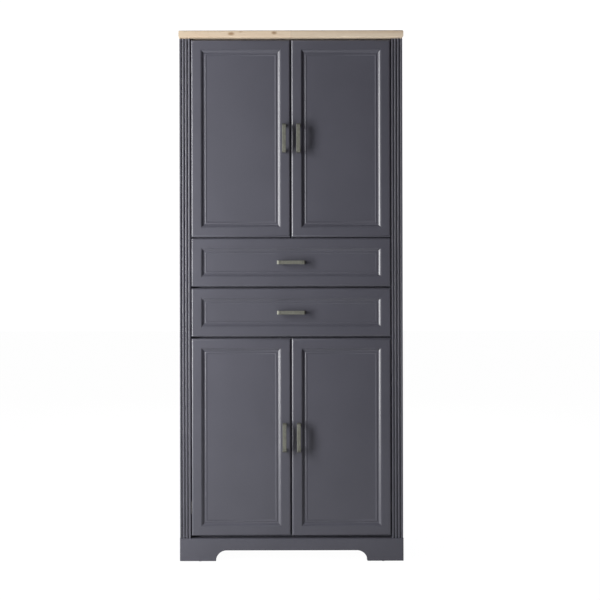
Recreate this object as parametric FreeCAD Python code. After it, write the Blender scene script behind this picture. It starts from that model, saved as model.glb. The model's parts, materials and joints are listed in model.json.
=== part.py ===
import FreeCAD, Part
import math
import os

# Tall pantry cabinet: four panelled doors, two drawers between them, fluted pilasters,
# an arched plinth and an overhanging wooden top board. Millimetres, +Z up, front towards -Y.
# The origin is on the floor, at the centre of the bounding box in plan.

# Overall sizes
overall_width = 846.0
overall_height = 2010.0
overall_depth = 400.0

# Top board
board_thickness = 28.0
board_overhang_front = 15.0
board_overhang_side = 2.0
board_top_chamfer = 3.0
board_bottom_chamfer = 5.0

# Pilasters
pilaster_width = 41.0
pilaster_edge_chamfer = 1.0
flute_radius = 3.8
flute_pitch = 11.4
flute_count = 3

# Plinth
plinth_height = 87.0
plinth_thickness = 22.0
plinth_proud_front = 5.0
plinth_proud_side = 1.0
plinth_edge_radius = 4.0
arch_foot_width = 137.0
arch_height = 42.0
arch_corner_radius = 40.0
plinth_side_thickness = 16.0
plinth_rail_height = 40.0
plinth_back_set_in = 20.0
glide_thickness = 2.0
glide_radius = 7.0

# Carcass panels
panel_thickness = 16.0
side_thickness = 16.0
side_set_in = 2.0
back_thickness = 3.0
back_set_in = 2.0
back_rebate_depth = 8.0
fixed_panel_set_back = 4.0
shelf_side_clearance = 1.0
shelf_back_clearance = 2.0
strip_web = 2.0
strip_flange = 1.0
strip_height = 14.0
strip_side_clearance = 1.0

# Doors and drawer fronts
front_thickness = 19.0
drawer_front_height = 183.0
front_gap = 2.0
side_gap = 3.5
door_centre_gap = 4.0
gap_above_plinth = 9.0
gap_below_drawers = 7.0
gap_between_drawers = 7.0
gap_above_drawers = 4.0
gap_below_board = 5.0
edge_round_width = 8.0
edge_round_depth = 4.0
frame_width = 37.5
cove_width = 12.5
cove_depth = 5.2
bead_width = 6.5
bead_rise = 1.2
inner_cove_width = 3.0
panel_recess = 7.5

# Handles
handle_length = 108.0
handle_hole_spacing = 96.0
handle_width = 14.0
handle_thickness = 8.0
handle_projection = 28.0
handle_post_width = 12.0
handle_end_chamfer = 5.0
handle_edge_chamfer = 0.8
handle_groove_width = 1.2
handle_groove_depth = 0.8
handle_edge_distance = 25.0
screw_radius = 2.0
screw_hole_radius = 2.5
screw_fit = 0.05
screw_grip = 10.0
screw_head_radius = 4.5
screw_head_height = 2.2

# Cup hinges
hinge_end_distance = 100.0
hinge_pin_from_edge = 10.0
hinge_pin_from_back = 8.5
hinge_pin_radius = 1.25
hinge_pin_fit = 0.05
hinge_eye_radius = 2.6
hinge_arm_thickness = 2.5
hinge_arm_width = 12.0
hinge_neck_radius = 14.3
hinge_arm_leg = 46.0
hinge_plate_thickness = 4.0
hinge_plate_height = 44.0
hinge_plate_length = 40.0
cup_radius = 17.5
cup_from_edge = 22.5
cup_depth = 12.3
cup_play = 0.4
cup_fit = 0.15
cup_flange_length = 60.0
cup_flange_width = 20.0
cup_flange_thickness = 1.2
small_screw_radius = 3.2
small_screw_height = 1.0

# Battens behind the pilasters
hinge_batten_depth = 60.0
runner_batten_height = 100.0

# Drawer boxes
box_height = 120.0
box_above_front_edge = 20.0
box_side_thickness = 12.0
box_bottom_thickness = 4.0
box_bottom_height = 10.0
box_groove_depth = 5.0
box_groove_fit = 0.1

# Drawer runners: three nested channels
runner_width = 12.7
runner_height = 45.0
runner_sheet = 1.2
runner_play = 0.5
runner_set_back = 4.0
runner_end_clearance = 7.0
runner_lip_clearance = 1.0

# Shelf pins, cam fittings, bumpers and wall brackets
pin_radius = 2.5
pin_length = 18.0
pin_hole_depth = 9.0
pin_hole_fit = 0.1
pin_shelf_clearance = 0.2
pin_row_inset = 40.0
pin_hole_pitch = 32.0
cam_radius = 7.5
cam_depth = 12.0
cam_distance = 34.0
cam_fit = 0.1
cam_bolt_radius = 3.0
cam_bolt_grip = 10.0
cam_row_inset = 60.0
bumper_radius = 3.0
bumper_clearance = 0.5
bumper_from_centre = 40.0
bracket_leg = 30.0
bracket_sheet = 2.0
bracket_spacing = 600.0
bracket_hole_radius = 3.0
bracket_hole_drop = 18.0
bracket_screw_distance = 18.0

# Places across the width, for the +X side
half_width = overall_width / 2
opening_half = half_width - pilaster_width
fronts_half = opening_half - side_gap
side_outer = half_width - side_set_in
side_inner = side_outer - side_thickness

# Places along the depth
y_back = (overall_depth - board_overhang_front + handle_projection) / 2
y_board_front = y_back - overall_depth
y_front = y_board_front + board_overhang_front
y_front_back = y_front + front_thickness
y_carcass = y_front_back + front_gap
y_panel_front = y_carcass + fixed_panel_set_back
y_back_panel_rear = y_back - back_set_in
y_back_panel_front = y_back_panel_rear - back_thickness

# Places up the height
z_board = overall_height - board_thickness
fixed_heights = plinth_height + board_thickness + 2 * drawer_front_height
all_gaps = gap_above_plinth + gap_below_drawers + gap_between_drawers + gap_above_drawers + gap_below_board
door_height = (overall_height - fixed_heights - all_gaps) / 2
z_lower_door = plinth_height + gap_above_plinth
z_lower_drawer = z_lower_door + door_height + gap_below_drawers
z_upper_drawer = z_lower_drawer + drawer_front_height + gap_between_drawers
z_upper_door = z_upper_drawer + drawer_front_height + gap_above_drawers
z_lower_shelf = z_lower_drawer - gap_below_drawers / 2 - panel_thickness / 2
z_drawer_rail = z_upper_drawer - gap_between_drawers / 2 - panel_thickness / 2
z_upper_shelf = z_upper_door - gap_above_drawers / 2 - panel_thickness / 2
z_top_panel = z_board - panel_thickness

# The open spaces behind the doors, as floor and ceiling heights
lower_space = (plinth_height + panel_thickness, z_lower_shelf)
upper_space = (z_upper_shelf + panel_thickness, z_top_panel)


def box(x_range, y_range, z_range):
    """A box from three (low, high) pairs."""
    corner = FreeCAD.Vector(x_range[0], y_range[0], z_range[0])
    sizes = (x_range[1] - x_range[0], y_range[1] - y_range[0], z_range[1] - z_range[0])
    return Part.makeBox(*sizes, corner)


def cylinder(radius, length, centre, direction):
    """A cylinder that starts at centre and runs along direction."""
    return Part.makeCylinder(radius, length, FreeCAD.Vector(*centre), FreeCAD.Vector(*direction))


def mirrored(shape):
    """The same shape on the other side of the middle plane."""
    return shape.mirror(FreeCAD.Vector(0, 0, 0), FreeCAD.Vector(1, 0, 0))


def both_sides(shapes):
    """Each shape and its mirror image."""
    return [copy for shape in shapes for copy in (shape, mirrored(shape))]


def write(node, shapes):
    """Write one sub-part, a solid or a group of separate solids, as a STEP file."""
    shape = shapes if isinstance(shapes, Part.Shape) else Part.makeCompound(shapes)
    solids = shape.Solids
    body = solids[0] if len(solids) == 1 else Part.makeCompound(solids)
    if not body.isValid():
        raise ValueError("invalid solid in " + node)
    body.exportStep("parts/" + node + ".step")
    print(node, len(solids), "solid(s)", round(body.Volume / 1000.0, 2), "cm3")


def point(u, depth):
    """A profile point: u inwards from the edge, depth behind the front face."""
    return FreeCAD.Vector(0, y_front + depth, u)


def line(start, end):
    return Part.LineSegment(start, end).toShape()


def arc(start, middle, end):
    return Part.Arc(start, middle, end).toShape()


def tangent_arc_middle(flat_end, steep_end):
    """The middle point of a hollow arc that runs out flat at flat_end."""
    run = flat_end[0] - steep_end[0]
    drop = flat_end[1] - steep_end[1]
    radius = (run * run + drop * drop) / (2 * drop)
    half_angle = math.asin(run / radius) / 2
    return (flat_end[0] - radius * math.sin(half_angle), flat_end[1] - radius * (1 - math.cos(half_angle)))


def sweep_round_front(edges, x_range, z_range):
    """Sweep a closed profile, drawn at the lower edge, round a rectangle with mitred corners."""
    middle = (x_range[0] + x_range[1]) / 2
    corners = [(middle, z_range[0]), (x_range[1], z_range[0]), (x_range[1], z_range[1]),
               (x_range[0], z_range[1]), (x_range[0], z_range[0]), (middle, z_range[0])]
    path_points = [FreeCAD.Vector(x, y_front, z) for x, z in corners]
    path = Part.Wire([line(a, b) for a, b in zip(path_points, path_points[1:])])
    profile = Part.Wire(edges)
    profile.translate(FreeCAD.Vector(middle, 0, z_range[0]))
    return path.makePipeShell([profile], True, False, 1)


def edge_cutter(x_range, z_range):
    """What the rounded outer edge takes off."""
    outside = -1.0
    rise = (edge_round_width ** 2 + edge_round_depth ** 2) / (2 * edge_round_depth)
    half_angle = math.asin(edge_round_width / rise) / 2
    arc_middle = point(edge_round_width - rise * math.sin(half_angle), rise * (1 - math.cos(half_angle)))
    corners = [point(0, edge_round_depth), point(outside, edge_round_depth), point(outside, outside),
               point(edge_round_width, outside), point(edge_round_width, 0)]
    edges = [line(a, b) for a, b in zip(corners, corners[1:])]
    edges.append(arc(corners[-1], arc_middle, corners[0]))
    return sweep_round_front(edges, x_range, z_range)


def moulding_cutter(x_range, z_range):
    """What the moulding round the sunk panel takes off: a cove, a small bead and an inner cove."""
    outside = -1.0
    frame_edge = (frame_width, 0.0)
    cove_end = (frame_width + cove_width, cove_depth)
    bead_middle = (cove_end[0] + bead_width / 2, cove_depth - bead_rise)
    bead_end = (cove_end[0] + bead_width, cove_depth)
    inner_end = (bead_end[0] + inner_cove_width, panel_recess)
    edges = [arc(point(*frame_edge), point(*tangent_arc_middle(cove_end, frame_edge)), point(*cove_end)),
             arc(point(*cove_end), point(*bead_middle), point(*bead_end)),
             arc(point(*bead_end), point(*tangent_arc_middle(inner_end, bead_end)), point(*inner_end))]
    corners = [inner_end, (inner_end[0], outside), (frame_width, outside), frame_edge]
    edges += [line(point(*start), point(*end)) for start, end in zip(corners, corners[1:])]
    return sweep_round_front(edges, x_range, z_range)


def panelled_front(x_range, z_range):
    """A door or drawer front: rounded outer edge, flat frame, moulding and sunk panel."""
    inset = frame_width + cove_width + bead_width + inner_cove_width
    sunk_x = (x_range[0] + inset, x_range[1] - inset)
    sunk_z = (z_range[0] + inset, z_range[1] - inset)
    front = box(x_range, (y_front, y_front_back), z_range)
    front = front.cut(box(sunk_x, (y_front - 1, y_front + panel_recess), sunk_z))
    front = front.cut(moulding_cutter(x_range, z_range))
    return front.cut(edge_cutter(x_range, z_range))


def handle_at(centre_x, centre_z, y_seat, vertical):
    """A bar handle standing on the surface at y_seat, with its two screws."""
    half = handle_length / 2
    half_spacing = handle_hole_spacing / 2
    post_inner = half - handle_post_width
    under_bar = handle_projection - handle_thickness
    chamfer_out = handle_projection - handle_end_chamfer
    chamfer_x = half - handle_end_chamfer
    outline = [(-half, 0), (-half, chamfer_out), (-chamfer_x, handle_projection),
               (chamfer_x, handle_projection), (half, chamfer_out), (half, 0), (post_inner, 0),
               (post_inner, under_bar), (-post_inner, under_bar), (-post_inner, 0), (-half, 0)]
    corners = [FreeCAD.Vector(x, -out, -handle_width / 2) for x, out in outline]
    bar = Part.Face(Part.makePolygon(corners)).extrude(FreeCAD.Vector(0, 0, handle_width))
    long_edges = [edge for edge in bar.Edges if edge.BoundBox.XLength > handle_length / 2
                  and abs(edge.BoundBox.YMin + handle_projection) < 0.1]
    bar = bar.makeChamfer(handle_edge_chamfer, long_edges)
    slim = (handle_width - handle_post_width) / 2
    for side in (-1, 1):
        edge_z = sorted((side * (handle_width / 2 - slim), side * (handle_width / 2 + 1)))
        bar = bar.cut(box((-half - 1, half + 1), (-under_bar, 1), edge_z))
        groove_x = side * (half - handle_post_width)
        groove_range = (groove_x - handle_groove_width / 2, groove_x + handle_groove_width / 2)
        groove_depth = (-handle_projection - 1, -handle_projection + handle_groove_depth)
        bar = bar.cut(box(groove_range, groove_depth, (-handle_width, handle_width)))
        screw_start = (side * half_spacing, 0, 0)
        bar = bar.cut(cylinder(screw_radius + screw_fit, screw_grip + screw_fit, screw_start, (0, -1, 0)))
    back = y_front_back - y_seat
    pieces = [bar]
    for side in (-1, 1):
        shank = cylinder(screw_radius, screw_grip + back, (side * half_spacing, back, 0), (0, -1, 0))
        head = cylinder(screw_head_radius, screw_head_height, (side * half_spacing, back, 0), (0, 1, 0))
        pieces.append(shank.fuse(head).removeSplitter())
    handle = Part.makeCompound(pieces)
    if vertical:
        handle.rotate(FreeCAD.Vector(0, 0, 0), FreeCAD.Vector(0, 1, 0), 90)
    handle.translate(FreeCAD.Vector(centre_x, y_seat, centre_z))
    return handle


def handle_screw_holes(front, centre_x, centre_z, vertical):
    """The two clearance holes through a front for the handle screws."""
    for side in (-1, 1):
        along = side * handle_hole_spacing / 2
        x = centre_x if vertical else centre_x + along
        z = centre_z + along if vertical else centre_z
        front = front.cut(cylinder(screw_hole_radius, front_thickness + 2, (x, y_front - 1, z), (0, 1, 0)))
    return front


# Hinge places, for the +X doors: the pin's axis stands upright at (pin_x, pin_y)
pin_x = fronts_half - hinge_pin_from_edge
pin_y = y_front_back - hinge_pin_from_back
cup_x = fronts_half - cup_from_edge
plate_face = opening_half - hinge_plate_thickness


def hinge_heights(z_bottom):
    """The two hinge heights of a door."""
    return (z_bottom + hinge_end_distance, z_bottom + door_height - hinge_end_distance)


def hinge_arm(z):
    """The curved arm that carries the pin's eye, clears the door's edge and runs to its plate."""
    outer = hinge_neck_radius + hinge_arm_thickness
    low = z - hinge_arm_width / 2
    base = FreeCAD.Vector(pin_x, pin_y, low)
    up = FreeCAD.Vector(0, 0, 1)
    ring = Part.makeCylinder(outer, hinge_arm_width, base, up, 90)
    ring = ring.cut(Part.makeCylinder(hinge_neck_radius, hinge_arm_width, base, up, 360))
    ring.rotate(base, up, 90)
    eye = cylinder(hinge_eye_radius, hinge_arm_width, (pin_x, pin_y, low), (0, 0, 1))
    z_range = (low, low + hinge_arm_width)
    web = box((pin_x - outer, pin_x), (pin_y - hinge_arm_thickness, pin_y), z_range)
    web = web.common(cylinder(outer, hinge_arm_width, (pin_x, pin_y, low), (0, 0, 1)))
    run_y = (pin_y + hinge_neck_radius, pin_y + outer)
    run = box((pin_x, plate_face), run_y, z_range)
    leg = box((plate_face - hinge_arm_thickness, plate_face), (run_y[0], run_y[0] + hinge_arm_leg), z_range)
    arm = ring.multiFuse([eye, web, run, leg])
    hole = cylinder(hinge_pin_radius + hinge_pin_fit, hinge_arm_width, (pin_x, pin_y, low), (0, 0, 1))
    return arm.cut(hole).removeSplitter()


def hinge_plate(z):
    """The mounting plate on the batten, with its two screw heads."""
    y_start = pin_y + hinge_neck_radius + hinge_arm_thickness
    plate = box((plate_face, opening_half), (y_start, y_start + hinge_plate_length),
                (z - hinge_plate_height / 2, z + hinge_plate_height / 2))
    screw_y = y_start + hinge_plate_length / 2
    for side in (-1, 1):
        screw_z = z + side * (hinge_plate_height / 2 - 2 * small_screw_radius)
        head = cylinder(small_screw_radius, small_screw_height, (plate_face, screw_y, screw_z), (-1, 0, 0))
        plate = plate.fuse(head)
    return plate.removeSplitter()


def hinge_cup(z):
    """The cup let into the door, with its flange, its pin and a slot for the arm."""
    outer = hinge_neck_radius + hinge_arm_thickness
    flange_out = y_front_back + cup_flange_thickness
    cup = cylinder(cup_radius, cup_depth, (cup_x, y_front_back, z), (0, -1, 0))
    flange = box((cup_x - cup_flange_width / 2, cup_x + cup_flange_width / 2), (y_front_back, flange_out),
                 (z - cup_flange_length / 2, z + cup_flange_length / 2))
    cup = cup.fuse(flange)
    slot_z = hinge_arm_width / 2 + cup_play
    slot_y = (pin_y - hinge_eye_radius - cup_play, flange_out + 1)
    slot_x = (pin_x - outer - 2 * cup_play, pin_x + hinge_eye_radius + cup_play)
    slot = box(slot_x, slot_y, (z - slot_z, z + slot_z))
    cup = cup.cut(slot)
    cup = cup.fuse(cylinder(hinge_pin_radius, 2 * slot_z, (pin_x, pin_y, z - slot_z), (0, 0, 1)))
    for side in (-1, 1):
        screw_z = z + side * (cup_flange_length / 2 - 2 * small_screw_radius)
        head = cylinder(small_screw_radius, small_screw_height, (cup_x, flange_out, screw_z), (0, 1, 0))
        cup = cup.fuse(head)
    return cup.removeSplitter()


def cup_bore(z):
    """The blind bore for a hinge cup in the door's back."""
    return cylinder(cup_radius + cup_fit, cup_depth + cup_fit + 1, (cup_x, y_front_back + 1, z), (0, -1, 0))


def make_doors():
    """Four doors, each with its handle and its two hinge cups."""
    inner_edge = door_centre_gap / 2
    handle_x = inner_edge + handle_edge_distance
    for level, z_bottom in (("upper", z_upper_door), ("lower", z_lower_door)):
        heights = hinge_heights(z_bottom)
        handle_z = z_bottom + door_height / 2
        door = panelled_front((inner_edge, fronts_half), (z_bottom, z_bottom + door_height))
        for z in heights:
            door = door.cut(cup_bore(z))
        door = handle_screw_holes(door, handle_x, handle_z, True)
        cups = Part.makeCompound([hinge_cup(z) for z in heights])
        handle = handle_at(handle_x, handle_z, y_front, True)
        for side in ("right", "left"):
            place = level + "_" + side
            turn = mirrored if side == "left" else (lambda shape: shape)
            write("door_" + place, turn(door))
            write("hinge_cups_" + place, turn(cups))
            write("door_handle_" + place, turn(handle))


def channel(x_web, x_lip, half_height, sheet, y_range, z):
    """A C-shaped channel on the +X side: an upright web and two flanges that reach to x_lip."""
    web_x = (x_web - sheet, x_web) if x_lip < x_web else (x_web, x_web + sheet)
    flange_x = (min(x_web, x_lip), max(x_web, x_lip))
    web = box(web_x, y_range, (z - half_height, z + half_height))
    upper = box(flange_x, y_range, (z + half_height - sheet, z + half_height))
    lower = box(flange_x, y_range, (z - half_height, z - half_height + sheet))
    return web.multiFuse([upper, lower]).removeSplitter()


# Drawer box and runner places
box_outer = opening_half - runner_width
box_inner = box_outer - box_side_thickness
runner_start = y_front_back + runner_set_back
runner_length = y_back_panel_front - runner_end_clearance - runner_start
runner_y = (runner_start, runner_start + runner_length)
box_y = (y_front_back, runner_y[1])
drawer_places = (("upper", z_upper_drawer), ("lower", z_lower_drawer))


def runner_centre(z_bottom):
    """The height of a drawer's runners."""
    return z_bottom + box_above_front_edge + box_height / 2


def make_runners():
    """Cabinet members fixed to the battens, middle members, and drawer members on the boxes."""
    outer_half = runner_height / 2
    middle_half = outer_half - runner_sheet - runner_play
    inner_half = middle_half - runner_sheet - runner_play
    middle_web = opening_half - runner_sheet - runner_play
    inner_lip = middle_web - runner_sheet - runner_play
    cabinet_members = []
    for level, z_bottom in drawer_places:
        z = runner_centre(z_bottom)
        cabinet_lip = box_outer + runner_lip_clearance
        outer = channel(opening_half, cabinet_lip, outer_half, runner_sheet, runner_y, z)
        cabinet_members += both_sides([outer])
        middle_lip = box_outer + runner_sheet + runner_play
        middle = channel(middle_web, middle_lip, middle_half, runner_sheet, runner_y, z)
        write("runner_middle_members_" + level, both_sides([middle]))
        inner = channel(box_outer, inner_lip, inner_half, runner_sheet, runner_y, z)
        write("runner_drawer_members_" + level, both_sides([inner]))
    write("runner_cabinet_members", cabinet_members)


def make_drawers():
    """Two drawers: panelled front, two sides, back, bottom and handle."""
    for level, z_bottom in drawer_places:
        z_range = (z_bottom, z_bottom + drawer_front_height)
        handle_z = z_bottom + drawer_front_height / 2
        z_box = z_bottom + box_above_front_edge
        z_base = z_box + box_bottom_height
        base_top = z_base + box_bottom_thickness
        groove_z = (z_base - box_groove_fit, base_top + box_groove_fit)
        groove_half = box_inner + box_groove_depth + box_groove_fit
        groove_y = (box_y[0] - box_groove_depth - box_groove_fit, box_y[1] + 1)
        base_groove = box((-groove_half, groove_half), groove_y, groove_z)
        front = panelled_front((-fronts_half, fronts_half), z_range).cut(base_groove)
        write("drawer_front_" + level, handle_screw_holes(front, 0, handle_z, False))
        side = box((box_inner, box_outer), box_y, (z_box, z_box + box_height)).cut(base_groove)
        write("drawer_side_right_" + level, side)
        write("drawer_side_left_" + level, mirrored(side))
        back_y = (box_y[1] - box_side_thickness, box_y[1])
        write("drawer_back_" + level, box((-box_inner, box_inner), back_y, (base_top, z_box + box_height)))
        base_half = box_inner + box_groove_depth
        base_y = (box_y[0] - box_groove_depth, box_y[1])
        write("drawer_bottom_" + level, box((-base_half, base_half), base_y, (z_base, base_top)))
        write("drawer_handle_" + level, handle_at(0, handle_z, y_front + panel_recess, False))


def cam_places():
    """The depth places of the cam fittings along a panel's end."""
    return (y_panel_front + cam_row_inset, y_back_panel_front - cam_row_inset)


def cam_cutters(z, ys):
    """Bores for the cams and bolts of one fixed panel whose underside is at z, on the +X side."""
    cutters = []
    bolt_z = z + panel_thickness / 2
    cam_x = side_inner - cam_distance
    for y in ys:
        cutters.append(cylinder(cam_radius + cam_fit, cam_depth + 1, (cam_x, y, z - 1), (0, 0, 1)))
        cutters.append(cylinder(cam_bolt_radius + cam_fit, cam_distance + cam_bolt_grip + cam_fit,
                                (cam_x, y, bolt_z), (1, 0, 0)))
    return cutters


def cam_pieces(z, ys):
    """A cam and its bolt at each place, on the +X side."""
    pieces = []
    bolt_z = z + panel_thickness / 2
    cam_x = side_inner - cam_distance
    bolt_start = cam_x + cam_radius + cam_fit
    for y in ys:
        pieces.append(cylinder(cam_radius, cam_depth, (cam_x, y, z), (0, 0, 1)))
        bolt_length = side_inner + cam_bolt_grip - bolt_start
        pieces.append(cylinder(cam_bolt_radius, bolt_length, (bolt_start, y, bolt_z), (1, 0, 0)))
    return pieces


def cut_all(shape, cutters):
    return shape.cut(Part.makeCompound(cutters))


# Adjustable shelves, as node name and underside height: one below the drawers and two above them
shelf_y = (y_carcass + hinge_batten_depth + shelf_back_clearance, y_back_panel_front - shelf_back_clearance)
shelf_half = side_inner - shelf_side_clearance
lower_clear = lower_space[1] - lower_space[0]
upper_clear = upper_space[1] - upper_space[0]
shelf_places = (("adjustable_shelf_lower", lower_space[0] + (lower_clear - panel_thickness) / 2),
                ("adjustable_shelf_middle", upper_space[0] + (upper_clear - 2 * panel_thickness) / 3),
                ("adjustable_shelf_upper", upper_space[0] + 2 * upper_clear / 3 - panel_thickness / 3))
pin_ys = (shelf_y[0] + pin_row_inset, shelf_y[1] - pin_row_inset)


def pin_height(z_shelf):
    return z_shelf - pin_radius - pin_shelf_clearance


def make_carcass():
    """Side panels, fixed panels, adjustable shelves, battens, back panels and their fittings."""
    panel_y = (y_panel_front, y_back_panel_front)
    rail_depth = 2 * cam_row_inset
    fixed_panels = (("bottom_panel", plinth_height, panel_y), ("fixed_shelf_lower", z_lower_shelf, panel_y),
                    ("drawer_rail", z_drawer_rail, (y_panel_front, y_panel_front + rail_depth)),
                    ("fixed_shelf_upper", z_upper_shelf, panel_y), ("top_panel", z_top_panel, panel_y))
    side = box((side_inner, side_outer), (y_carcass, y_back), (plinth_height, z_board))
    rebate = box((side_inner - 1, side_inner + back_rebate_depth), (y_back_panel_front, y_back + 1),
                 (plinth_height - 1, z_board + 1))
    side_cutters = [rebate]
    cams = []
    for node, z, y_range in fixed_panels:
        ys = (y_panel_front + cam_row_inset,) if node == "drawer_rail" else cam_places()
        cutters = cam_cutters(z, ys)
        side_cutters += cutters
        cams += cam_pieces(z, ys)
        panel = box((-side_inner, side_inner), y_range, (z, z + panel_thickness))
        write(node, cut_all(panel, both_sides(cutters)))
    pins = []
    for node, z in shelf_places:
        write(node, box((-shelf_half, shelf_half), shelf_y, (z, z + panel_thickness)))
        for y in pin_ys:
            start_x = side_inner + pin_hole_depth
            pins.append(cylinder(pin_radius, pin_length, (start_x, y, pin_height(z)), (-1, 0, 0)))
            for step in (-1, 0, 1):
                hole_z = pin_height(z) + step * pin_hole_pitch
                side_cutters.append(cylinder(pin_radius + pin_hole_fit, pin_hole_depth + 1 + pin_hole_fit,
                                             (side_inner - 1, y, hole_z), (1, 0, 0)))
    side = cut_all(side, side_cutters)
    write("side_panel_right", side)
    write("side_panel_left", mirrored(side))
    write("cam_fittings", both_sides(cams))
    write("shelf_pins", both_sides(pins))
    batten_x = (opening_half, side_inner)
    hinge_batten_y = (y_carcass, y_carcass + hinge_batten_depth)
    battens = [box(batten_x, hinge_batten_y, space) for space in (lower_space, upper_space)]
    write("hinge_battens_right", battens)
    write("hinge_battens_left", [mirrored(batten) for batten in battens])
    half = runner_batten_height / 2
    runner_batten_y = (y_panel_front, y_back_panel_front - strip_flange - strip_side_clearance)
    runner_battens = [box(batten_x, runner_batten_y, (runner_centre(z) - half, runner_centre(z) + half))
                      for level, z in drawer_places]
    write("runner_battens", both_sides(runner_battens))


def make_back():
    """Two back panels in the side panels' rebates, an H-shaped strip and the wall brackets."""
    z_joint = z_upper_drawer + drawer_front_height / 2
    back_half = side_inner + back_rebate_depth
    back_y = (y_back_panel_front, y_back_panel_rear)
    hole_z = z_top_panel - bracket_hole_drop
    hole_start = (bracket_spacing / 2, 0, hole_z)
    holes = both_sides([cylinder(bracket_hole_radius, overall_depth, hole_start, (0, 1, 0))])
    lower_back = box((-back_half, back_half), back_y, (plinth_height, z_joint - strip_web / 2))
    upper_back = box((-back_half, back_half), back_y, (z_joint + strip_web / 2, z_board))
    write("back_panel_lower", lower_back)
    write("back_panel_upper", cut_all(upper_back, holes))
    strip_half = side_inner - strip_side_clearance
    strip_x = (-strip_half, strip_half)
    flange_z = (z_joint - strip_height / 2, z_joint + strip_height / 2)
    web = box(strip_x, back_y, (z_joint - strip_web / 2, z_joint + strip_web / 2))
    inner_flange = box(strip_x, (back_y[0] - strip_flange, back_y[0]), flange_z)
    outer_flange = box(strip_x, (back_y[1], back_y[1] + strip_flange), flange_z)
    write("back_joining_strip", web.multiFuse([inner_flange, outer_flange]).removeSplitter())
    bracket_x = (bracket_spacing / 2 - bracket_leg / 2, bracket_spacing / 2 + bracket_leg / 2)
    upright = box(bracket_x, (y_back_panel_front - bracket_sheet, y_back_panel_front),
                  (z_top_panel - bracket_leg, z_top_panel))
    flat = box(bracket_x, (y_back_panel_front - bracket_leg, y_back_panel_front),
               (z_top_panel - bracket_sheet, z_top_panel))
    screw_y = y_back_panel_front - bracket_screw_distance
    head = cylinder(small_screw_radius, small_screw_height,
                    (bracket_spacing / 2, screw_y, z_top_panel - bracket_sheet), (0, 0, -1))
    bracket = upright.multiFuse([flat, head]).removeSplitter()
    write("wall_brackets", [cut_all(piece, holes) for piece in both_sides([bracket])])


def make_pilasters():
    """Fluted posts at the front corners."""
    y_range = (y_front, y_carcass)
    post = box((opening_half, half_width), y_range, (plinth_height, z_board))
    front_edges = [edge for edge in post.Edges if abs(edge.BoundBox.YMax - y_front) < 0.1
                   and edge.BoundBox.ZLength > overall_height / 2]
    post = post.makeChamfer(pilaster_edge_chamfer, front_edges)
    middle = opening_half + pilaster_width / 2
    flutes = []
    for number in range(flute_count):
        x = middle + (number - (flute_count - 1) / 2) * flute_pitch
        flute_length = z_board - plinth_height + 2
        flutes.append(cylinder(flute_radius, flute_length, (x, y_front, plinth_height - 1), (0, 0, 1)))
    post = cut_all(post, flutes)
    write("pilaster_right", post)
    write("pilaster_left", mirrored(post))


def make_plinth():
    """Arched front board, side boards, rails behind the front and at the back, and floor glides."""
    plinth_half = half_width + plinth_proud_side
    plinth_y = (y_front - plinth_proud_front, y_front - plinth_proud_front + plinth_thickness)
    front = box((-plinth_half, plinth_half), plinth_y, (glide_thickness, plinth_height))
    edges = [edge for edge in front.Edges if abs(edge.BoundBox.YMax - plinth_y[0]) < 0.1
             and edge.BoundBox.ZMax > plinth_height - 1]
    front = front.makeFillet(plinth_edge_radius, edges)
    arch_half = plinth_half - arch_foot_width
    arch_x = (-arch_half, arch_half)
    arch = box(arch_x, (plinth_y[0] - 1, plinth_y[1] + 1), (-arch_corner_radius, arch_height))
    top_edges = [edge for edge in arch.Edges if edge.BoundBox.YLength > plinth_thickness
                 and edge.BoundBox.ZMin > arch_height - 1]
    arch = arch.makeFillet(arch_corner_radius, top_edges)
    write("plinth_front", front.cut(arch))
    side_x = (plinth_half - plinth_side_thickness, plinth_half)
    side = box(side_x, (plinth_y[1], y_back), (glide_thickness, plinth_height))
    write("plinth_side_right", side)
    write("plinth_side_left", mirrored(side))
    rail_x = (-side_x[0], side_x[0])
    rail_z = (plinth_height - plinth_rail_height, plinth_height)
    write("plinth_rail", box(rail_x, (plinth_y[1], plinth_y[1] + plinth_side_thickness), rail_z))
    back_y = (y_back - plinth_back_set_in - plinth_side_thickness, y_back - plinth_back_set_in)
    write("plinth_back", box(rail_x, back_y, rail_z))
    foot_x = plinth_half - plinth_side_thickness / 2
    front_y = (plinth_y[0] + plinth_y[1]) / 2
    glide_spots = ((foot_x - arch_foot_width / 2, front_y), (foot_x, y_back - arch_foot_width / 2))
    glides = [cylinder(glide_radius, glide_thickness, (x, y, 0), (0, 0, 1)) for x, y in glide_spots]
    write("floor_glides", both_sides(glides))


def make_top_board():
    """The overhanging top board, with its front and side edges chamfered."""
    board_half = half_width + board_overhang_side
    board = box((-board_half, board_half), (y_board_front, y_back), (z_board, overall_height))
    top_edges = [edge for edge in board.Edges if edge.BoundBox.ZMin > overall_height - 0.1
                 and abs(edge.BoundBox.YMin - y_back) > 0.1]
    board = board.makeChamfer(board_top_chamfer, top_edges)
    bottom_edges = [edge for edge in board.Edges if edge.BoundBox.ZMax < z_board + 0.1
                    and abs(edge.BoundBox.YMin - y_back) > 0.1]
    write("top_board", board.makeChamfer(board_bottom_chamfer, bottom_edges))


def make_hinge_hardware():
    """The fixed halves of the hinges and the small bumpers that the doors close on."""
    heights = hinge_heights(z_upper_door) + hinge_heights(z_lower_door)
    write("hinge_arms", both_sides([hinge_arm(z) for z in heights]))
    write("hinge_plates", both_sides([hinge_plate(z) for z in heights]))
    bumper_length = y_panel_front - y_front_back - bumper_clearance
    bumper_heights = [(end + space_end) / 2
                      for z_door, space in ((z_lower_door, lower_space), (z_upper_door, upper_space))
                      for end, space_end in ((z_door, space[0]), (z_door + door_height, space[1]))]
    bumpers = [cylinder(bumper_radius, bumper_length, (bumper_from_centre, y_panel_front, z), (0, -1, 0))
               for z in bumper_heights]
    write("door_bumpers", both_sides(bumpers))


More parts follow.
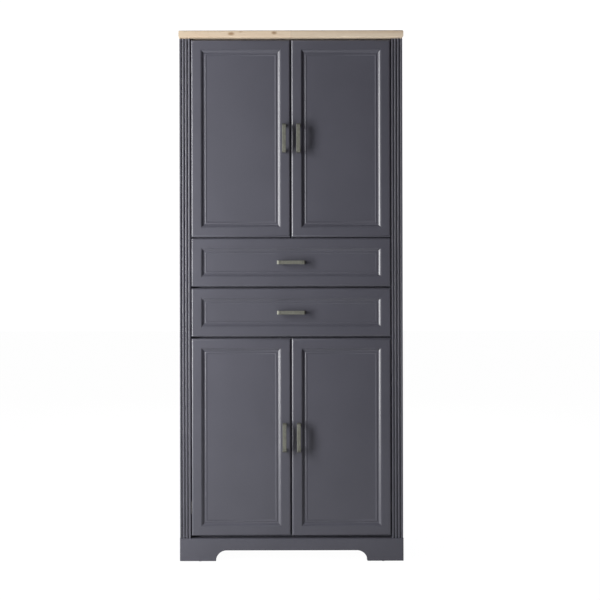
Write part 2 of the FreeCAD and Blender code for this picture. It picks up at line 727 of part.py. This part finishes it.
os.makedirs("parts", exist_ok=True)
make_top_board()
make_pilasters()
make_plinth()
make_carcass()
make_back()
make_doors()
make_hinge_hardware()
make_drawers()
make_runners()
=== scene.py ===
import json
import math

import bmesh
import bpy
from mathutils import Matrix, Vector

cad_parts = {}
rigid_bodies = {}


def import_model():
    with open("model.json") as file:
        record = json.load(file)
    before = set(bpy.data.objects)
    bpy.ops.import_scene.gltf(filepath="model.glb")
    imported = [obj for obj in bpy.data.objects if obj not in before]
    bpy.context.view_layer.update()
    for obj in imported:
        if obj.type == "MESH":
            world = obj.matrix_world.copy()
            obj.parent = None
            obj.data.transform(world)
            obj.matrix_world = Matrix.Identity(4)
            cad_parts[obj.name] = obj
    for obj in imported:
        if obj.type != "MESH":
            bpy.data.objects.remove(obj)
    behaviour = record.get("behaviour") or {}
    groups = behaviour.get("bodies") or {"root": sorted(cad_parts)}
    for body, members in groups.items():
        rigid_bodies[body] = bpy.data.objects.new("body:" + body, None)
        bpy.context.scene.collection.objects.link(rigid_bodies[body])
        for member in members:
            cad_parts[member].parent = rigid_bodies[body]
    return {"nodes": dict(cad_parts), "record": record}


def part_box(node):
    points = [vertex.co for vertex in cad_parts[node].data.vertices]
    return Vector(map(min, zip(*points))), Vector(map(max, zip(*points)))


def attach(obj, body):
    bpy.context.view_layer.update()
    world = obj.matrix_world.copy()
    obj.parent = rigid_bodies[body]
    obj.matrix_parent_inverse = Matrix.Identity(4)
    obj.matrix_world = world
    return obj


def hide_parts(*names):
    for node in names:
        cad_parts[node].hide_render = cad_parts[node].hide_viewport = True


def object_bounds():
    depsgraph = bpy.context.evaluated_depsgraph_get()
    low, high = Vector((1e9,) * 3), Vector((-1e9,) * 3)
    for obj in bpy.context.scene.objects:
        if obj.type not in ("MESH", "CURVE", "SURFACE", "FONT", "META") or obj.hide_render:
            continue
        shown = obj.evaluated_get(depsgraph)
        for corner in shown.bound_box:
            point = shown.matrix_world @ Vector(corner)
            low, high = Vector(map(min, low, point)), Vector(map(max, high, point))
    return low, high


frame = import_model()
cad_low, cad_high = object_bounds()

# Sizes in metres that the looks need and the frame doesn't state, with one count and one share.
# Pairs are (inset, depth) on a front: FRAME_STEP and OGEE count from FRAME_WIDTH, the rest from the edge.
FLUTE_RADIUS = 0.0038
FLUTE_PITCH = 0.0114
FLUTE_COUNT = 3
POST_ROUND = 0.0012
EDGE_ROUND = (0.008, 0.004)
FRAME_WIDTH = 0.0366
FRAME_STEP = (0.0006, 0.0014)
OGEE = (0.0150, 0.0072)
OGEE_BREAK = 0.35
BEAD_CREST = (0.0543, 0.0061)
PANEL_EDGE = (0.0608, 0.0075)
CUP_RADIUS = 0.01765
CUP_DEPTH = 0.01245
CUP_FROM_EDGE = 0.0225
HINGE_END_DISTANCE = 0.100
HANDLE_SCREW_HOLE = 0.0025
HANDLE_SCREW_SPACING = 0.096
GROOVE_PLAY = 0.0001
PLINTH_EDGE_ROUND = 0.004
ARCH_FOOT = 0.137
ARCH_HEIGHT = 0.042
ARCH_CORNER_RADIUS = 0.040
BOARD_TOP_CHAMFER = 0.003
BOARD_BOTTOM_CHAMFER = 0.005
SOFT_EDGE = 0.0005
HANDLE_EASE = 0.0005
PANEL_EASE = 0.0004
CUT_PAST = 0.001
WELD_DISTANCE = 0.00001
NEAR = 0.0005
FLOOR_HALF = 14.0

# Angles in degrees.
SHARP_ANGLE = 24.0
EASED_ANGLE = 35.0
PLINTH_CREASE = 50.0
BOARD_CREASE = 20.0

# Straight pieces in each round and sides of each hole, from small to large.
ROUND_STEPS = 4
SWEEP_STEPS = 6
EDGE_STEPS = 8
FLUTE_STEPS = 16
ARCH_STEPS = 20
HOLE_SIDES = 24
CUP_SIDES = 64

# How bright the floor and the background look to the camera, and how much of the floor's look is glow.
STUDIO_WHITE = 1.05
FLOOR_GLOW = 0.94

PANELS = ("side_panel_left", "side_panel_right", "plinth_side_left", "plinth_side_right", "top_panel",
          "bottom_panel", "fixed_shelf_lower", "fixed_shelf_upper", "drawer_rail",
          "adjustable_shelf_lower", "adjustable_shelf_middle", "adjustable_shelf_upper")

nodes = frame["nodes"]


# ---------------------------------------------------------------- materials

class Shader:
    """A Principled material and short ways to add and join its nodes."""

    def __init__(self, name, roughness, metallic=0.0):
        self.material = bpy.data.materials.new(name)
        self.material.use_nodes = True
        self.tree = self.material.node_tree
        self.surface = self.tree.nodes["Principled BSDF"]
        self.surface.inputs["Roughness"].default_value = roughness
        self.surface.inputs["Metallic"].default_value = metallic
        self.place = self.add("ShaderNodeTexCoord").outputs["Object"]

    def add(self, kind, **settings):
        node = self.tree.nodes.new(kind)
        for name, value in settings.items():
            setattr(node, name, value)
        return node

    def join(self, output, socket):
        self.tree.links.new(output, socket)

    def stretched(self, scale, source=None):
        """Object coordinates, or the source's, scaled per axis."""
        mapping = self.add("ShaderNodeMapping")
        mapping.inputs["Scale"].default_value = scale
        self.join(source or self.place, mapping.inputs["Vector"])
        return mapping.outputs["Vector"]

    def noise(self, scale, detail=2.0, roughness=0.5, distortion=0.0, place=None):
        node = self.add("ShaderNodeTexNoise")
        node.inputs["Scale"].default_value = scale
        node.inputs["Detail"].default_value = detail
        node.inputs["Roughness"].default_value = roughness
        node.inputs["Distortion"].default_value = distortion
        self.join(place or self.place, node.inputs["Vector"])
        return node.outputs["Fac"]

    def ramp(self, value, stops):
        """A colour ramp; stops are (position, colour) pairs."""
        node = self.add("ShaderNodeValToRGB")
        elements = node.color_ramp.elements
        while len(elements) < len(stops):
            elements.new(0.5)
        for element, (position, colour) in zip(elements, stops):
            element.position = position
            element.color = (*colour, 1.0)
        self.join(value, node.inputs["Fac"])
        return node.outputs["Color"]

    def span(self, value, low, high, source_low=0.0, source_high=1.0):
        """value moved from one range to another."""
        node = self.add("ShaderNodeMapRange")
        node.inputs["From Min"].default_value = source_low
        node.inputs["From Max"].default_value = source_high
        node.inputs["To Min"].default_value = low
        node.inputs["To Max"].default_value = high
        self.join(value, node.inputs["Value"])
        return node.outputs["Result"]

    def mix(self, factor, first, second, blend="MIX"):
        """Two colours mixed; each value may be plain or an output."""
        node = self.add("ShaderNodeMix", data_type="RGBA", blend_type=blend)
        # Of the node's sockets, these belong to a colour mix.
        sockets = (node.inputs[0], node.inputs[6], node.inputs[7])
        for socket, value in zip(sockets, (factor, first, second)):
            if isinstance(value, bpy.types.NodeSocket):
                self.join(value, socket)
            elif isinstance(value, (int, float)):
                socket.default_value = value
            else:
                socket.default_value = (*value, 1.0)
        return node.outputs[2]

    def maths(self, operation, first, second):
        node = self.add("ShaderNodeMath", operation=operation)
        for socket, value in zip(node.inputs, (first, second)):
            if isinstance(value, bpy.types.NodeSocket):
                self.join(value, socket)
            else:
                socket.default_value = value
        return node.outputs[0]

    def colour(self, output):
        self.join(output, self.surface.inputs["Base Color"])

    def roughness(self, output):
        self.join(output, self.surface.inputs["Roughness"])

    def bump(self, height, strength, distance):
        node = self.add("ShaderNodeBump")
        node.inputs["Strength"].default_value = strength
        node.inputs["Distance"].default_value = distance
        self.join(height, node.inputs["Height"])
        previous = self.surface.inputs["Normal"]
        if previous.is_linked:
            self.join(previous.links[0].from_socket, node.inputs["Normal"])
        self.join(node.outputs["Normal"], previous)


def shade(colour, factor):
    return tuple(channel * factor for channel in colour)


def lacquer(name, colour, roughness):
    """Satin lacquer: faint clouding and specks, fine orange peel and a little uneven gloss."""
    skin = Shader(name, roughness)
    cloud = skin.noise(5.0, 3.0)
    tone = skin.ramp(cloud, ((0.3, shade(colour, 0.955)), (0.7, shade(colour, 1.045))))
    grain = skin.noise(1500.0, 2.0)
    speck = skin.ramp(grain, ((0.35, (0.93, 0.93, 0.93)), (0.65, (1.0, 1.0, 1.0))))
    skin.colour(skin.mix(1.0, tone, speck, "MULTIPLY"))
    gloss = skin.noise(11.0, 2.0)
    skin.roughness(skin.span(gloss, roughness - 0.02, roughness + 0.02, 0.3, 0.7))
    skin.bump(skin.noise(420.0, 2.0, 0.6), 0.12, 0.0003)
    return skin.material


def melamine(name, colour, roughness):
    """Pearled melamine board: small random pits and an almost even tone."""
    board = Shader(name, roughness)
    cloud = board.noise(8.0, 2.0)
    board.colour(board.ramp(cloud, ((0.3, shade(colour, 0.95)), (0.7, shade(colour, 1.05)))))
    pearl = board.noise(900.0, 3.0, 0.65)
    board.roughness(board.span(pearl, roughness - 0.08, roughness + 0.06, 0.3, 0.7))
    board.bump(pearl, 0.25, 0.0002)
    return board.material


def oak(name):
    """Light knotty oak decor: staves, rings, pores, a few knots, and painted light: a tone that lightens
    along X where the left key light falls off.
    """
    wood = Shader(name, 0.5)
    along = wood.stretched((1.0, 14.0, 14.0))
    waver = wood.noise(1.4, 4.0, 0.55, 0.6, along)
    rings = wood.add("ShaderNodeTexWave", bands_direction="Y", wave_profile="SAW")
    rings.inputs["Scale"].default_value = 1.6
    rings.inputs["Distortion"].default_value = 5.0
    rings.inputs["Detail"].default_value = 3.0
    rings.inputs["Detail Scale"].default_value = 0.9
    wood.join(along, rings.inputs["Vector"])
    dark, warm = (0.27, 0.185, 0.11), (0.405, 0.310, 0.220)
    pale, palest = (0.475, 0.395, 0.305), (0.525, 0.455, 0.365)
    base = wood.ramp(waver, ((0.28, warm), (0.52, pale), (0.8, palest)))
    ringed = wood.mix(wood.span(rings.outputs["Fac"], 0.0, 0.30, 0.35, 1.0), base, warm)
    staves = wood.add("ShaderNodeTexBrick", offset=0.37)
    staves.inputs["Color1"].default_value = (0.88, 0.88, 0.88, 1.0)
    staves.inputs["Color2"].default_value = (1.10, 1.09, 1.08, 1.0)
    staves.inputs["Mortar"].default_value = (0.55, 0.5, 0.45, 1.0)
    staves.inputs["Scale"].default_value = 1.0
    staves.inputs["Mortar Size"].default_value = 0.0004
    staves.inputs["Brick Width"].default_value = 0.62
    staves.inputs["Row Height"].default_value = 0.095
    wood.join(wood.place, staves.inputs["Vector"])
    # Painted light: the tone is multiplied by 0.90 at the left end and 1.22 at the right end, making up
    # for the key light on the left falling off towards the right.
    parts = wood.add("ShaderNodeSeparateXYZ")
    wood.join(wood.place, parts.inputs[0])
    across = wood.span(parts.outputs["X"], 0.0, 1.0, cad_low.x, cad_high.x)
    painted_light_ramp = wood.mix(across, (0.90, 0.90, 0.90), (1.22, 1.22, 1.22))
    toned = wood.mix(1.0, ringed, staves.outputs["Color"], "MULTIPLY")
    toned = wood.mix(1.0, toned, painted_light_ramp, "MULTIPLY")
    pores = wood.noise(42.0, 3.0, 0.6, 0.0, wood.stretched((1.0, 22.0, 22.0)))
    pore_mask = wood.span(pores, 0.0, 1.0, 0.57, 0.68)
    knotted = wood.mix(wood.maths("MULTIPLY", pore_mask, 0.35), toned, dark)
    ragged_edge = wood.span(pores, -0.0015, 0.0015, 0.3, 0.7)
    top = cad_high.z
    front = nodes["top_board"].bound_box[0][1]
    knots = ((-0.226, front, top - 0.013, 0.0085), (-0.19, front + 0.004, top - 0.006, 0.006),
             (-0.063, front, top - 0.010, 0.007), (0.21, front + 0.13, top, 0.011),
             (-0.30, front + 0.25, top, 0.014), (0.05, front + 0.31, top, 0.009))
    for x, y, z, size in knots:
        offset = wood.add("ShaderNodeVectorMath", operation="SUBTRACT")
        offset.inputs[1].default_value = (x, y, z)
        wood.join(wood.place, offset.inputs[0])
        squashed = wood.stretched((0.55, 1.0, 1.0), offset.outputs["Vector"])
        distance = wood.add("ShaderNodeVectorMath", operation="LENGTH")
        wood.join(squashed, distance.inputs[0])
        ragged = wood.maths("ADD", distance.outputs["Value"], ragged_edge)
        knot = wood.span(ragged, 1.0, 0.0, 0.35 * size, size)
        knotted = wood.mix(wood.maths("MULTIPLY", knot, 0.85), knotted, (0.20, 0.115, 0.055))
    wood.colour(knotted)
    wood.roughness(wood.span(pores, 0.46, 0.62, 0.3, 0.7))
    wood.bump(pores, 0.25, 0.0003)
    return wood.material


def satin_metal(name, colour, roughness, brush, metallic=1.0):
    """Satin metal with fine streaks, scaled per axis by brush, and faint staining."""
    metal = Shader(name, roughness, metallic)
    streaks = metal.noise(1.0, 3.0, 0.6, 0.0, metal.stretched(brush))
    stain = metal.noise(90.0, 3.0)
    tone = metal.ramp(stain, ((0.3, shade(colour, 0.82)), (0.7, shade(colour, 1.12))))
    lines = metal.ramp(streaks, ((0.3, (0.82, 0.82, 0.82)), (0.7, (1.0, 1.0, 1.0))))
    metal.colour(metal.mix(1.0, tone, lines, "MULTIPLY"))
    metal.roughness(metal.span(streaks, roughness - 0.07, roughness + 0.09, 0.3, 0.7))
    metal.bump(streaks, 0.15, 0.0001)
    return metal.material


def moulded(name, colour, roughness):
    """Matt moulded plastic or rubber with a spark-eroded texture."""
    plastic = Shader(name, roughness)
    grit = plastic.noise(1800.0, 2.0)
    cloud = plastic.noise(40.0)
    plastic.colour(plastic.ramp(cloud, ((0.3, shade(colour, 0.92)), (0.7, shade(colour, 1.08)))))
    plastic.roughness(plastic.span(grit, roughness - 0.05, roughness + 0.08, 0.3, 0.7))
    plastic.bump(grit, 0.2, 0.0001)
    return plastic.material


GRAPHITE = (0.0645, 0.0645, 0.0815)
looks = {
    "graphite_front": lacquer("graphite lacquer", GRAPHITE, 0.32),
    "graphite_carcass": melamine("graphite melamine", GRAPHITE, 0.5),
    "oak_decor": oak("light oak decor"),
    "back_board": melamine("grey hardboard", (0.16, 0.16, 0.165), 0.6),
    "drawer_box": melamine("light grey melamine", (0.36, 0.36, 0.37), 0.45),
    "handle_metal": satin_metal("gunmetal", (0.165, 0.167, 0.143), 0.5, (250.0, 250.0, 250.0), 0.5),
    "hinge_steel": satin_metal("nickel plate", (0.62, 0.61, 0.58), 0.28, (300.0, 300.0, 300.0)),
    "runner_steel": satin_metal("zinc plate", (0.50, 0.51, 0.53), 0.38, (900.0, 12.0, 900.0)),
    "fitting_steel": satin_metal("fitting steel", (0.52, 0.52, 0.52), 0.38, (300.0, 300.0, 300.0)),
    "plastic": moulded("black plastic", (0.035, 0.035, 0.038), 0.5),
    "clear_rubber": moulded("grey rubber", (0.42, 0.42, 0.42), 0.45),
}
slot_of = {row["node"]: row["material_slot"] for row in frame["record"]["subparts"]}


def dress(piece, slot):
    piece.data.materials.clear()
    piece.data.materials.append(looks[slot])


for node, piece in nodes.items():
    dress(piece, slot_of[node])


# ---------------------------------------------------------------- fronts, posts, plinth and board

def body_of_node(node):
    return nodes[node].parent.name.removeprefix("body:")


def even_normals(piece):
    """Flat faces stay flat and narrow rounded edges carry the shading."""
    modifier = piece.modifiers.new("even normals", "WEIGHTED_NORMAL")
    modifier.keep_sharp = True


def stand_for(node, mesh):
    """A finished piece in place of one CAD node."""
    mesh.shade_smooth()
    mesh.set_sharp_from_angle(angle=math.radians(SHARP_ANGLE))
    piece = bpy.data.objects.new("look_" + node, mesh)
    bpy.context.scene.collection.objects.link(piece)
    even_normals(piece)
    dress(piece, slot_of[node])
    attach(piece, body_of_node(node))
    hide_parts(node)


def mesh_from(name, work):
    """A mesh from a bmesh, with its faces turned outwards."""
    bmesh.ops.recalc_face_normals(work, faces=work.faces)
    mesh = bpy.data.meshes.new(name)
    work.to_mesh(mesh)
    work.free()
    return mesh


def curved(start, end, flat_at_start, steps=SWEEP_STEPS):
    """The points after start along an arc to end that runs level at one of its ends."""
    run, rise = end[0] - start[0], end[1] - start[1]
    whole = 2 * math.atan2(rise, run)
    radius = run / math.sin(whole)
    points = []
    for step in range(1, steps + 1):
        angle = whole * (step / steps if flat_at_start else 1 - step / steps)
        reach, drop = radius * math.sin(angle), radius * (1 - math.cos(angle))
        if flat_at_start:
            points.append((start[0] + reach, start[1] + drop))
        else:
            points.append((end[0] - reach, end[1] - drop))
    return points


def front_stations(thickness):
    """(inset, depth) from the back edge, over the rounded edge and the frame, down to the sunk panel."""
    stations = [(SOFT_EDGE, thickness), (0.0, thickness - SOFT_EDGE), (0.0, EDGE_ROUND[1])]
    stations += curved(stations[-1], (EDGE_ROUND[0], 0.0), False, EDGE_STEPS)
    ogee_start = (FRAME_WIDTH + FRAME_STEP[0], FRAME_STEP[1])
    ogee_end = (FRAME_WIDTH + OGEE[0], OGEE[1])
    ogee_middle = tuple(a + (b - a) * OGEE_BREAK for a, b in zip(ogee_start, ogee_end))
    stations += [(FRAME_WIDTH, 0.0), ogee_start]
    stations += curved(ogee_start, ogee_middle, True)
    stations += curved(ogee_middle, ogee_end, False)
    stations += curved(ogee_end, BEAD_CREST, False, ROUND_STEPS)
    bead_middle = tuple((a + b) / 2 for a, b in zip(BEAD_CREST, PANEL_EDGE))
    stations += curved(BEAD_CREST, bead_middle, True, ROUND_STEPS)
    return stations + curved(bead_middle, PANEL_EDGE, False, ROUND_STEPS)


def panelled_front(node):
    """A routed front, mitred at its corners, before its bores are cut."""
    low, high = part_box(node)
    work = bmesh.new()
    loops = []
    for inset, depth in front_stations(high.y - low.y):
        y = low.y + depth
        corners = ((low.x + inset, low.z + inset), (high.x - inset, low.z + inset),
                   (high.x - inset, high.z - inset), (low.x + inset, high.z - inset))
        loops.append([work.verts.new((x, y, z)) for x, z in corners])
    for outer, inner in zip(loops, loops[1:]):
        for i in range(4):
            j = (i + 1) % 4
            work.faces.new((outer[i], outer[j], inner[j], inner[i]))
    work.faces.new(loops[0])
    work.faces.new(loops[-1])
    return mesh_from(node, work)


def add_bore(work, centre, radius, length, sides):
    """A cylinder along Y, from centre towards +Y."""
    angles = [2 * math.pi * i / sides for i in range(sides)]
    circle = [(centre[0] + radius * math.cos(a), centre[2] + radius * math.sin(a)) for a in angles]
    ends = []
    for y in (centre[1], centre[1] + length):
        ends.append([work.verts.new((x, y, z)) for x, z in circle])
    for i in range(sides):
        j = (i + 1) % sides
        work.faces.new((ends[0][i], ends[0][j], ends[1][j], ends[1][i]))
    work.faces.new(ends[0])
    work.faces.new(ends[1])


def add_block(work, low, high):
    """A plain block from its lowest and highest corners."""
    made = bmesh.ops.create_cube(work, size=1.0)["verts"]
    for vert in made:
        vert.co = Vector([(low[i] + high[i]) / 2 + vert.co[i] * (high[i] - low[i]) for i in range(3)])


def cut_away(mesh, cutter):
    """The mesh less the cutter, with the cut made now and not kept as a modifier."""
    pieces = [bpy.data.objects.new(data.name + " work", data) for data in (mesh, cutter)]
    for piece in pieces:
        bpy.context.scene.collection.objects.link(piece)
    modifier = pieces[0].modifiers.new("cut", "BOOLEAN")
    modifier.operation = "DIFFERENCE"
    modifier.solver = "EXACT"
    modifier.object = pieces[1]
    bpy.context.view_layer.update()
    graph = bpy.context.evaluated_depsgraph_get()
    made = bpy.data.meshes.new_from_object(pieces[0].evaluated_get(graph))
    made.materials.clear()
    for piece in pieces:
        bpy.data.objects.remove(piece)
    return made


def make_fronts():
    """Doors with their cup bores and drawer fronts with their grooves, all with handle holes."""
    play = Vector((GROOVE_PLAY, GROOVE_PLAY, GROOVE_PLAY))
    for level in ("upper", "lower"):
        for side in ("left", "right"):
            node = f"door_{level}_{side}"
            low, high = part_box(node)
            cutter = bmesh.new()
            cup_x = low.x + CUP_FROM_EDGE if side == "left" else high.x - CUP_FROM_EDGE
            for z in (low.z + HINGE_END_DISTANCE, high.z - HINGE_END_DISTANCE):
                place = (cup_x, high.y - CUP_DEPTH, z)
                add_bore(cutter, place, CUP_RADIUS, CUP_DEPTH + CUT_PAST, CUP_SIDES)
            handle_low, handle_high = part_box(f"door_handle_{level}_{side}")
            middle = (handle_low + handle_high) / 2
            for step in (-0.5, 0.5):
                place = (middle.x, low.y - CUT_PAST, middle.z + step * HANDLE_SCREW_SPACING)
                add_bore(cutter, place, HANDLE_SCREW_HOLE, high.y - low.y + 2 * CUT_PAST, HOLE_SIDES)
            stand_for(node, cut_away(panelled_front(node), mesh_from("cutter", cutter)))
        node = f"drawer_front_{level}"
        low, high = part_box(node)
        cutter = bmesh.new()
        base_low, base_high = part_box(f"drawer_bottom_{level}")
        groove_high = Vector((base_high.x, high.y + CUT_PAST, base_high.z))
        add_block(cutter, base_low - play, groove_high + play)
        handle_low, handle_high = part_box(f"drawer_handle_{level}")
        middle = (handle_low + handle_high) / 2
        for step in (-0.5, 0.5):
            place = (middle.x + step * HANDLE_SCREW_SPACING, low.y - CUT_PAST, middle.z)
            add_bore(cutter, place, HANDLE_SCREW_HOLE, high.y - low.y + 2 * CUT_PAST, HOLE_SIDES)
        stand_for(node, cut_away(panelled_front(node), mesh_from("cutter", cutter)))


def extruded(name, outline, low, high, axis):
    """The bmesh of a prism: a closed outline across the y or z axis, carried from low to high along it."""
    work = bmesh.new()
    ends = []
    for level in (low, high):
        if axis == "y":
            ends.append([work.verts.new((u, level, v)) for u, v in outline])
        else:
            ends.append([work.verts.new((u, v, level)) for u, v in outline])
    count = len(outline)
    for i in range(count):
        j = (i + 1) % count
        work.faces.new((ends[0][i], ends[0][j], ends[1][j], ends[1][i]))
    work.faces.new(ends[0])
    work.faces.new(ends[1])
    bmesh.ops.recalc_face_normals(work, faces=work.faces)
    return work


def turn(centre, radius, start, end, steps):
    """Points on an arc about a centre, angles in degrees."""
    angles = [math.radians(start + (end - start) * i / steps) for i in range(steps + 1)]
    return [(centre[0] + radius * math.cos(a), centre[1] + radius * math.sin(a)) for a in angles]


def soften(work, edges, width, segments):
    """Edges cut back by a width: one segment is a chamfer, more are a round."""
    bmesh.ops.bevel(work, geom=edges, offset=width, offset_type="OFFSET", segments=segments, profile=0.5,
                    affect="EDGES", clamp_overlap=True)


def creases(work, least):
    """Edges that turn by more than an angle in degrees."""
    least = math.radians(least)
    return [edge for edge in work.edges if edge.is_manifold and edge.calc_face_angle(0.0) > least]


def lies_at(edge, axis, value):
    """Whether both ends of an edge have this coordinate."""
    return all(abs(vert.co[axis] - value) < NEAR for vert in edge.verts)


def make_pilasters():
    """Fluted posts with eased edges."""
    for side in ("left", "right"):
        node = "pilaster_" + side
        low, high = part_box(node)
        middle = (low.x + high.x) / 2
        round_centre = (low.x + POST_ROUND, low.y + POST_ROUND)
        outline = turn(round_centre, POST_ROUND, 180.0, 270.0, ROUND_STEPS)
        for number in range(FLUTE_COUNT):
            x = middle + (number - (FLUTE_COUNT - 1) / 2) * FLUTE_PITCH
            outline += turn((x, low.y), FLUTE_RADIUS, 180.0, 0.0, FLUTE_STEPS)
        round_centre = (high.x - POST_ROUND, low.y + POST_ROUND)
        outline += turn(round_centre, POST_ROUND, 270.0, 360.0, ROUND_STEPS)
        outline += [(high.x, high.y), (low.x, high.y)]
        stand_for(node, mesh_from(node, extruded(node, outline, low.z, high.z, "z")))


def make_plinth_front():
    """The arched board with its rounded top and side edges."""
    node = "plinth_front"
    low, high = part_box(node)
    arch = high.x - ARCH_FOOT
    arch_centre = arch - ARCH_CORNER_RADIUS
    centre_z = ARCH_HEIGHT - ARCH_CORNER_RADIUS
    outline = [(low.x, low.z), (-arch, low.z)]
    outline += turn((-arch_centre, centre_z), ARCH_CORNER_RADIUS, 180.0, 90.0, ARCH_STEPS)
    outline += turn((arch_centre, centre_z), ARCH_CORNER_RADIUS, 90.0, 0.0, ARCH_STEPS)
    outline += [(arch, low.z), (high.x, low.z), (high.x, high.z), (low.x, high.z)]
    work = extruded(node, outline, low.y, high.y, "y")
    rounded = [edge for edge in work.edges if lies_at(edge, 1, low.y)
               and (lies_at(edge, 2, high.z) or lies_at(edge, 0, low.x) or lies_at(edge, 0, high.x))]
    soften(work, rounded, PLINTH_EDGE_ROUND, SWEEP_STEPS)
    soften(work, creases(work, PLINTH_CREASE), SOFT_EDGE, 2)
    stand_for(node, mesh_from(node, work))


def make_top_board():
    """The oak board: chamfered on three sides above and below, with every arris eased."""
    node = "top_board"
    low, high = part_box(node)
    work = bmesh.new()
    add_block(work, low, high)
    bmesh.ops.recalc_face_normals(work, faces=work.faces)
    for height, chamfer in ((high.z, BOARD_TOP_CHAMFER), (low.z, BOARD_BOTTOM_CHAMFER)):
        edges = [edge for edge in work.edges
                 if lies_at(edge, 2, height) and not lies_at(edge, 1, high.y)]
        soften(work, edges, chamfer, 1)
    soften(work, creases(work, BOARD_CREASE), SOFT_EDGE, 2)
    stand_for(node, mesh_from(node, work))


def ease_edges(node, width):
    """Small rounded edges on a CAD part, as modifiers."""
    piece = nodes[node]
    weld = piece.modifiers.new("weld", "WELD")
    weld.merge_threshold = WELD_DISTANCE
    bevel = piece.modifiers.new("eased edges", "BEVEL")
    bevel.width = width
    bevel.segments = 2
    bevel.limit_method = "ANGLE"
    bevel.angle_limit = math.radians(EASED_ANGLE)
    bevel.use_clamp_overlap = True
    even_normals(piece)


make_fronts()
make_pilasters()
make_plinth_front()
make_top_board()
for level in ("upper", "lower"):
    ease_edges("drawer_handle_" + level, HANDLE_EASE)
    for side in ("left", "right"):
        ease_edges(f"door_handle_{level}_{side}", HANDLE_EASE)
for node in PANELS:
    ease_edges(node, PANEL_EASE)


# ---------------------------------------------------------------- stage, camera and light

def make_stage():
    """A wide pale floor, evenly white to the eye apart from a faint shade under the object."""
    corners = [(x * FLOOR_HALF, y * FLOOR_HALF, 0.0) for x, y in ((-1, -1), (1, -1), (1, 1), (-1, 1))]
    mesh = bpy.data.meshes.new("floor")
    mesh.from_pydata(corners, [], [(0, 1, 2, 3)])
    floor = bpy.data.objects.new("floor", mesh)
    bpy.context.scene.collection.objects.link(floor)
    paint = Shader("floor paint", 0.8)
    cloud = paint.noise(2.0)
    paint.colour(paint.ramp(cloud, ((0.3, (0.54, 0.54, 0.54)), (0.7, (0.56, 0.56, 0.56)))))
    path = paint.add("ShaderNodeLightPath")
    glow = paint.add("ShaderNodeEmission")
    glow.inputs["Strength"].default_value = STUDIO_WHITE
    choose = paint.add("ShaderNodeMixShader")
    output = paint.tree.nodes["Material Output"]
    seen = paint.maths("MULTIPLY", path.outputs["Is Camera Ray"], FLOOR_GLOW)
    paint.join(seen, choose.inputs[0])
    paint.join(paint.surface.outputs[0], choose.inputs[1])
    paint.join(glow.outputs[0], choose.inputs[2])
    paint.join(choose.outputs[0], output.inputs["Surface"])
    mesh.materials.append(paint.material)


def make_world():
    """A white background that lights the object only softly."""
    world = bpy.data.worlds.new("studio")
    world.use_nodes = True
    tree = world.node_tree
    tree.nodes.clear()
    path = tree.nodes.new("ShaderNodeLightPath")
    seen = tree.nodes.new("ShaderNodeBackground")
    seen.inputs["Color"].default_value = (1.0, 1.0, 1.0, 1.0)
    seen.inputs["Strength"].default_value = STUDIO_WHITE
    lighting = tree.nodes.new("ShaderNodeBackground")
    lighting.inputs["Color"].default_value = (1.0, 0.92, 1.06, 1.0)
    lighting.inputs["Strength"].default_value = 0.06
    choose = tree.nodes.new("ShaderNodeMixShader")
    output = tree.nodes.new("ShaderNodeOutputWorld")
    tree.links.new(path.outputs["Is Camera Ray"], choose.inputs[0])
    tree.links.new(lighting.outputs[0], choose.inputs[1])
    tree.links.new(seen.outputs[0], choose.inputs[2])
    tree.links.new(choose.outputs[0], output.inputs["Surface"])
    bpy.context.scene.world = world


def softbox(name, place, target, size, power, colour=(1.0, 1.0, 1.0)):
    """A rectangular area light that looks at a point."""
    data = bpy.data.lights.new(name, "AREA")
    data.shape = "RECTANGLE"
    data.size, data.size_y = size
    data.energy = power
    data.color = colour
    light = bpy.data.objects.new(name, data)
    bpy.context.scene.collection.objects.link(light)
    light.location = place
    light.rotation_mode = "QUATERNION"
    light.rotation_quaternion = (Vector(target) - Vector(place)).to_track_quat("-Z", "Y")


def make_lights():
    """A strong key light on the left, a weak front light, and lights for the back and the right side."""
    softbox("key", place=(-2.1, -1.45, 1.3), target=(0.0, -0.2, 1.3), size=(0.7, 2.4), power=156.0,
            colour=(1.0, 1.0, 0.98))
    softbox("front", place=(-1.2, -4.6, 1.25), target=(0.0, 0.0, 1.1), size=(1.2, 3.0), power=11.5)
    softbox("back", place=(0.0, 3.6, 2.6), target=(0.0, 0.0, 1.0), size=(3.0, 2.0), power=60.0)
    softbox("side", place=(3.2, 1.3, 1.6), target=(0.4, 0.1, 1.0), size=(1.6, 2.4), power=55.0)


def make_camera():
    """Square on, a little left of the middle, just over one metre up and very slightly rolled."""
    data = bpy.data.cameras.new("camera")
    data.sensor_width = 36.0
    distance = 3.9
    width_seen = 2.2755
    data.lens = data.sensor_width * distance / width_seen
    data.shift_x = 0.08
    data.shift_y = -0.055
    camera = bpy.data.objects.new("camera", data)
    bpy.context.scene.collection.objects.link(camera)
    front = nodes["door_upper_left"].bound_box[0][1]
    roll = math.radians(0.11)
    aim = Vector((0.0334, front, 0.9905))
    across, up = data.shift_x * width_seen, data.shift_y * width_seen
    camera.location = (aim.x - across, front - distance, aim.z - up)
    camera.rotation_euler = (math.radians(90.0), roll, 0.0)
    bpy.context.scene.camera = camera


make_stage()
make_world()
make_lights()
make_camera()
bpy.context.scene.view_settings.view_transform = "Standard"
